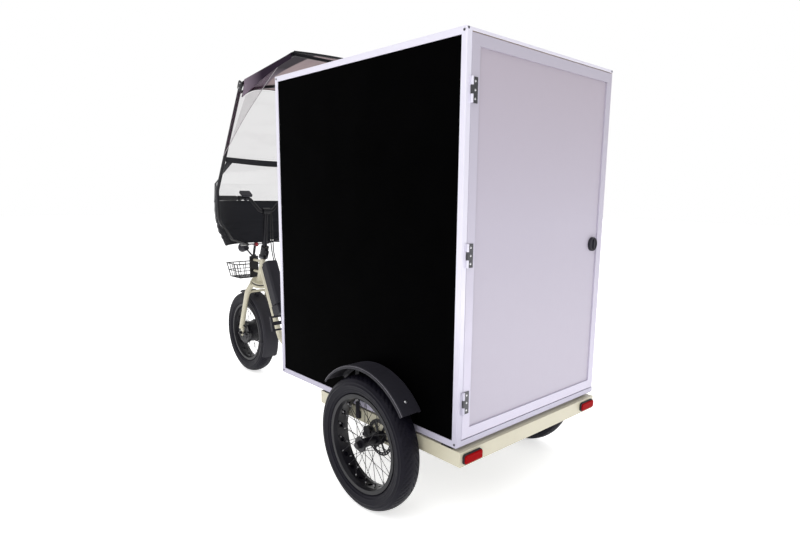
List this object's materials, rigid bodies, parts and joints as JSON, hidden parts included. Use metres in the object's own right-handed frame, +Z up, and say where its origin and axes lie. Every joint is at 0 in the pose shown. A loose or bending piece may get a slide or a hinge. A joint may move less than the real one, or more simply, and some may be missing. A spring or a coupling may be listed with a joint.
{
  "type": "cargo tricycle",
  "caption": "Electric cargo tricycle with a closed rear cargo box, hinged rear door, front hub motor, steered front wheel, pedals and a rider canopy with a leg cover.",
  "frame": {"origin": "on the ground under the middle of the tricycle", "axes": "+X forward, +Y to the rider's left, +Z up"},
  "size_m": [2.8754, 1.2086, 2.0415],
  "materials": {
    "frame_paint": "satin cream paint",
    "black_paint": "satin black paint",
    "bright_steel": "plain steel",
    "dark_steel": "dark plated steel",
    "aluminium_bar": "pale anodised",
    "black_panel": "smooth black sheet",
    "grey_panel": "light grey sheet",
    "black_plastic": "fine grained black",
    "red_lens": "clear red",
    "rubber": "matt black",
    "tyre": "black rubber",
    "saddle_cover": "grained black cover",
    "cover_fabric": "coated navy black cloth",
    "clear_film": "clear flexible film",
    "tinted_film": "dark tinted film"
  },
  "bodies": {
    "chassis": {"chassis_frame": "frame_paint", "bearings": "bright_steel", "rear_brake_calipers": "black_paint", "rear_fenders": "black_plastic", "tail_light_housings": "black_plastic", "tail_light_lenses": "red_lens", "box_mount_pads": "rubber", "box_frame": "aluminium_bar", "left_side_panel": "black_panel", "right_side_panel": "black_panel", "front_panel": "black_panel", "roof_panel": "black_panel", "floor_panel": "black_panel", "box_fasteners": "bright_steel", "hinge_post_leaves": "dark_steel", "front_frame": "frame_paint", "battery": "black_plastic", "seat_clamp": "black_paint", "drive_chain": "bright_steel", "basket": "black_paint", "basket_bracket": "black_paint", "headlight": "black_plastic", "canopy_frame": "black_paint", "leg_cover": "cover_fabric", "clear_windows": "clear_film", "canopy_roof": "tinted_film"},
    "door": {"door_frame": "aluminium_bar", "door_panel": "grey_panel", "latch_bezel": "black_plastic", "hinge_door_leaves": "dark_steel"},
    "latch": {"latch_handle": "black_plastic"},
    "steering": {"fork": "frame_paint", "front_axle": "bright_steel", "front_brake_caliper": "black_paint", "front_fender": "black_plastic", "stem": "black_paint", "handlebar": "black_paint", "grips": "rubber", "brake_perches": "black_paint", "display": "black_plastic", "control_cables": "rubber"},
    "left_lever": {"left_brake_lever": "black_paint"},
    "right_lever": {"right_brake_lever": "black_paint"},
    "throttle": {"thumb_throttle": "black_plastic"},
    "front_wheel": {"front_tyre": "tyre", "front_rim_spokes": "black_paint", "front_hub_motor": "black_paint"},
    "rear_left_wheel": {"rear_left_tyre": "tyre", "rear_left_rim_spokes": "black_paint", "rear_left_hub_disc": "black_paint"},
    "rear_right_wheel": {"rear_right_tyre": "tyre", "rear_right_rim_spokes": "black_paint", "rear_right_hub_disc": "black_paint", "rear_axle": "bright_steel"},
    "crank": {"crankset": "black_paint"},
    "left_pedal_body": {"left_pedal": "black_plastic"},
    "right_pedal_body": {"right_pedal": "black_plastic"},
    "sprocket": {"drive_sprocket": "bright_steel"},
    "seat": {"seatpost": "black_paint", "saddle": "saddle_cover"}
  },
  "joints": [
    {"name": "steer", "type": "hinge", "parent": "chassis", "child": "steering", "pos_m": [1.14175, 0, 0.296], "axis": [-0.3665, 0, 0.9304], "range_deg": [-30, 30], "deforming": ["control_cables"]},
    {"name": "front_wheel_spin", "type": "hinge", "parent": "steering", "child": "front_wheel", "pos_m": [1.14175, 0, 0.296], "axis": [0, 1, 0], "continuous": true},
    {"name": "rear_left_wheel_spin", "type": "hinge", "parent": "chassis", "child": "rear_left_wheel", "pos_m": [-0.95925, 0.541, 0.2875], "axis": [0, 1, 0], "continuous": true},
    {"name": "rear_right_wheel_spin", "type": "hinge", "parent": "chassis", "child": "rear_right_wheel", "pos_m": [-0.95925, -0.541, 0.2875], "axis": [0, 1, 0], "continuous": true},
    {"name": "crank_spin", "type": "hinge", "parent": "chassis", "child": "crank", "pos_m": [0.42075, 0, 0.335], "axis": [0, 1, 0], "continuous": true},
    {"name": "left_pedal_spin", "type": "hinge", "parent": "crank", "child": "left_pedal_body", "pos_m": [0.48717, 0.138, 0.49149], "axis": [0, 1, 0], "continuous": true},
    {"name": "right_pedal_spin", "type": "hinge", "parent": "crank", "child": "right_pedal_body", "pos_m": [0.35433, -0.138, 0.17851], "axis": [0, 1, 0], "continuous": true},
    {"name": "sprocket_spin", "type": "hinge", "parent": "chassis", "child": "sprocket", "pos_m": [-0.95925, -0.062, 0.2875], "axis": [0, 1, 0], "continuous": true},
    {"name": "door_swing", "type": "hinge", "parent": "chassis", "child": "door", "pos_m": [-1.41555, 0.45225, 1], "axis": [0, 0, -1], "range_deg": [0, 170]},
    {"name": "latch_turn", "type": "hinge", "parent": "door", "child": "latch", "pos_m": [-1.4, -0.399, 1.111], "axis": [1, 0, 0], "range_deg": [0, 90]},
    {"name": "seat_height", "type": "slide", "parent": "chassis", "child": "seat", "axis": [-0.4384, 0, 0.8988], "range_m": [-0.06, 0.06]},
    {"name": "left_lever_pull", "type": "hinge", "parent": "steering", "child": "left_lever", "pos_m": [0.87585, 0.201, 1.282], "axis": [0, 0, 1], "range_deg": [0, 15], "stiffness_Nm_per_rad": 2},
    {"name": "right_lever_pull", "type": "hinge", "parent": "steering", "child": "right_lever", "pos_m": [0.87585, -0.201, 1.282], "axis": [0, 0, -1], "range_deg": [0, 15], "stiffness_Nm_per_rad": 2},
    {"name": "throttle_push", "type": "hinge", "parent": "steering", "child": "throttle", "pos_m": [0.83326, -0.2175, 1.282], "axis": [-0.1548, -0.9879, 0], "range_deg": [0, 40], "stiffness_Nm_per_rad": 0.2}
  ],
  "couplings": [
    {"joint": "sprocket_spin", "follows": "crank_spin", "ratio": 2}
  ]
}
